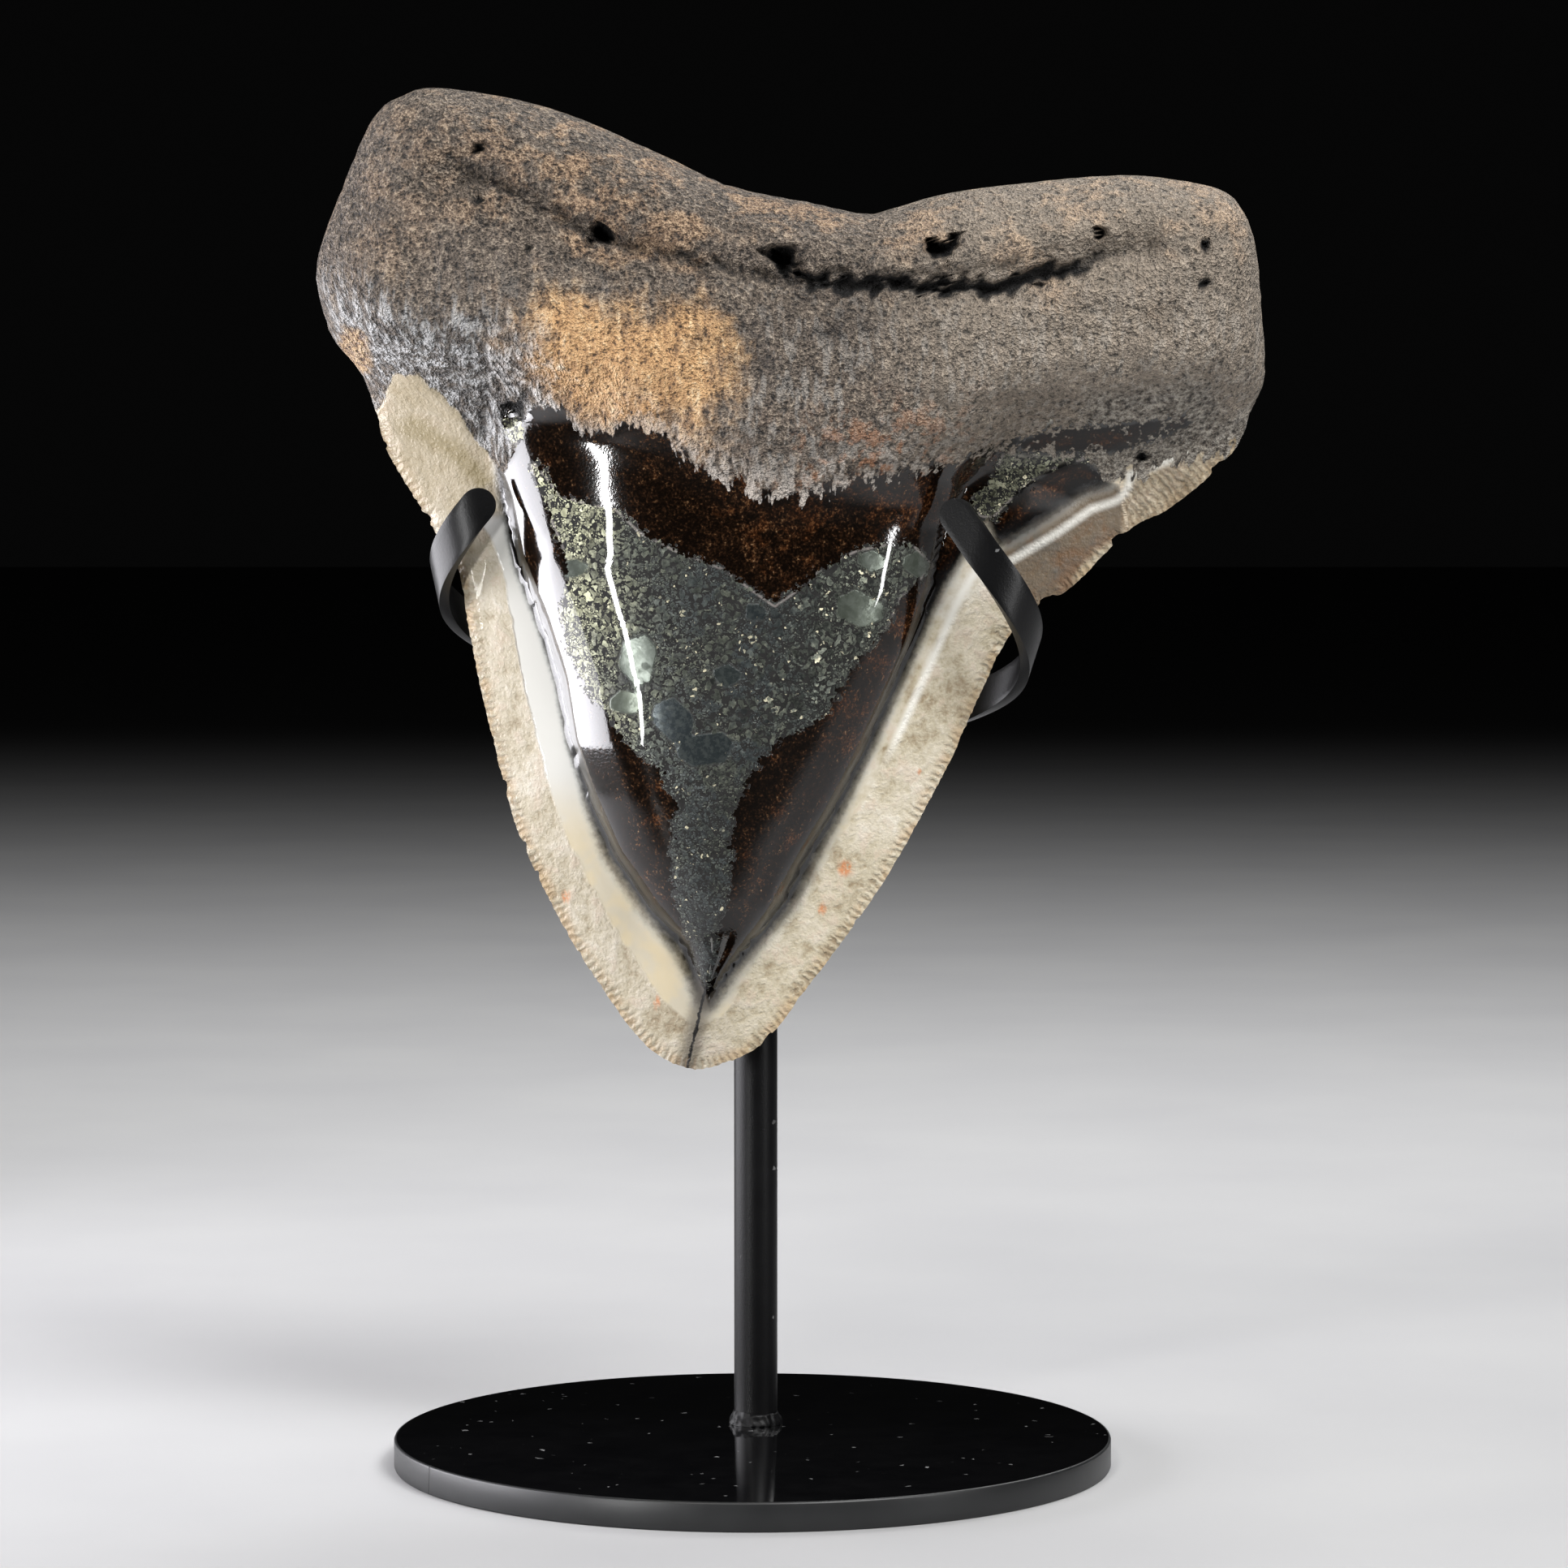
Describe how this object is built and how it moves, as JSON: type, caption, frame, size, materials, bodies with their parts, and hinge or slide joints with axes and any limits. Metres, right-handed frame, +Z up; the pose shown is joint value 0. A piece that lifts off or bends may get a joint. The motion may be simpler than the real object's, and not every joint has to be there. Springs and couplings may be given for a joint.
{
  "type": "fossil megalodon tooth on a display stand",
  "caption": "Large fossil shark tooth, thick stony root above a polished serrated blade, held tip down by two bent straps on a rod and round base.",
  "frame": {"origin": "centre of the base plate's underside, on the surface the stand rests on", "axes": "+Z up, the longest extent; -Y towards the viewer, the way the tooth's polished face looks; +X to the viewer's right"},
  "size_m": [0.13, 0.1, 0.1905],
  "materials": {
    "fossil_tooth": "rough grey-brown root, polished dark crown with cream enamel edges and pyrite",
    "gloss_black_metal": "gloss black",
    "satin_black_metal": "satin black"
  },
  "bodies": {
    "root": {"tooth": "fossil_tooth", "base_plate": "gloss_black_metal", "post": "satin_black_metal", "left_arm": "satin_black_metal", "right_arm": "satin_black_metal"}
  },
  "joints": []
}
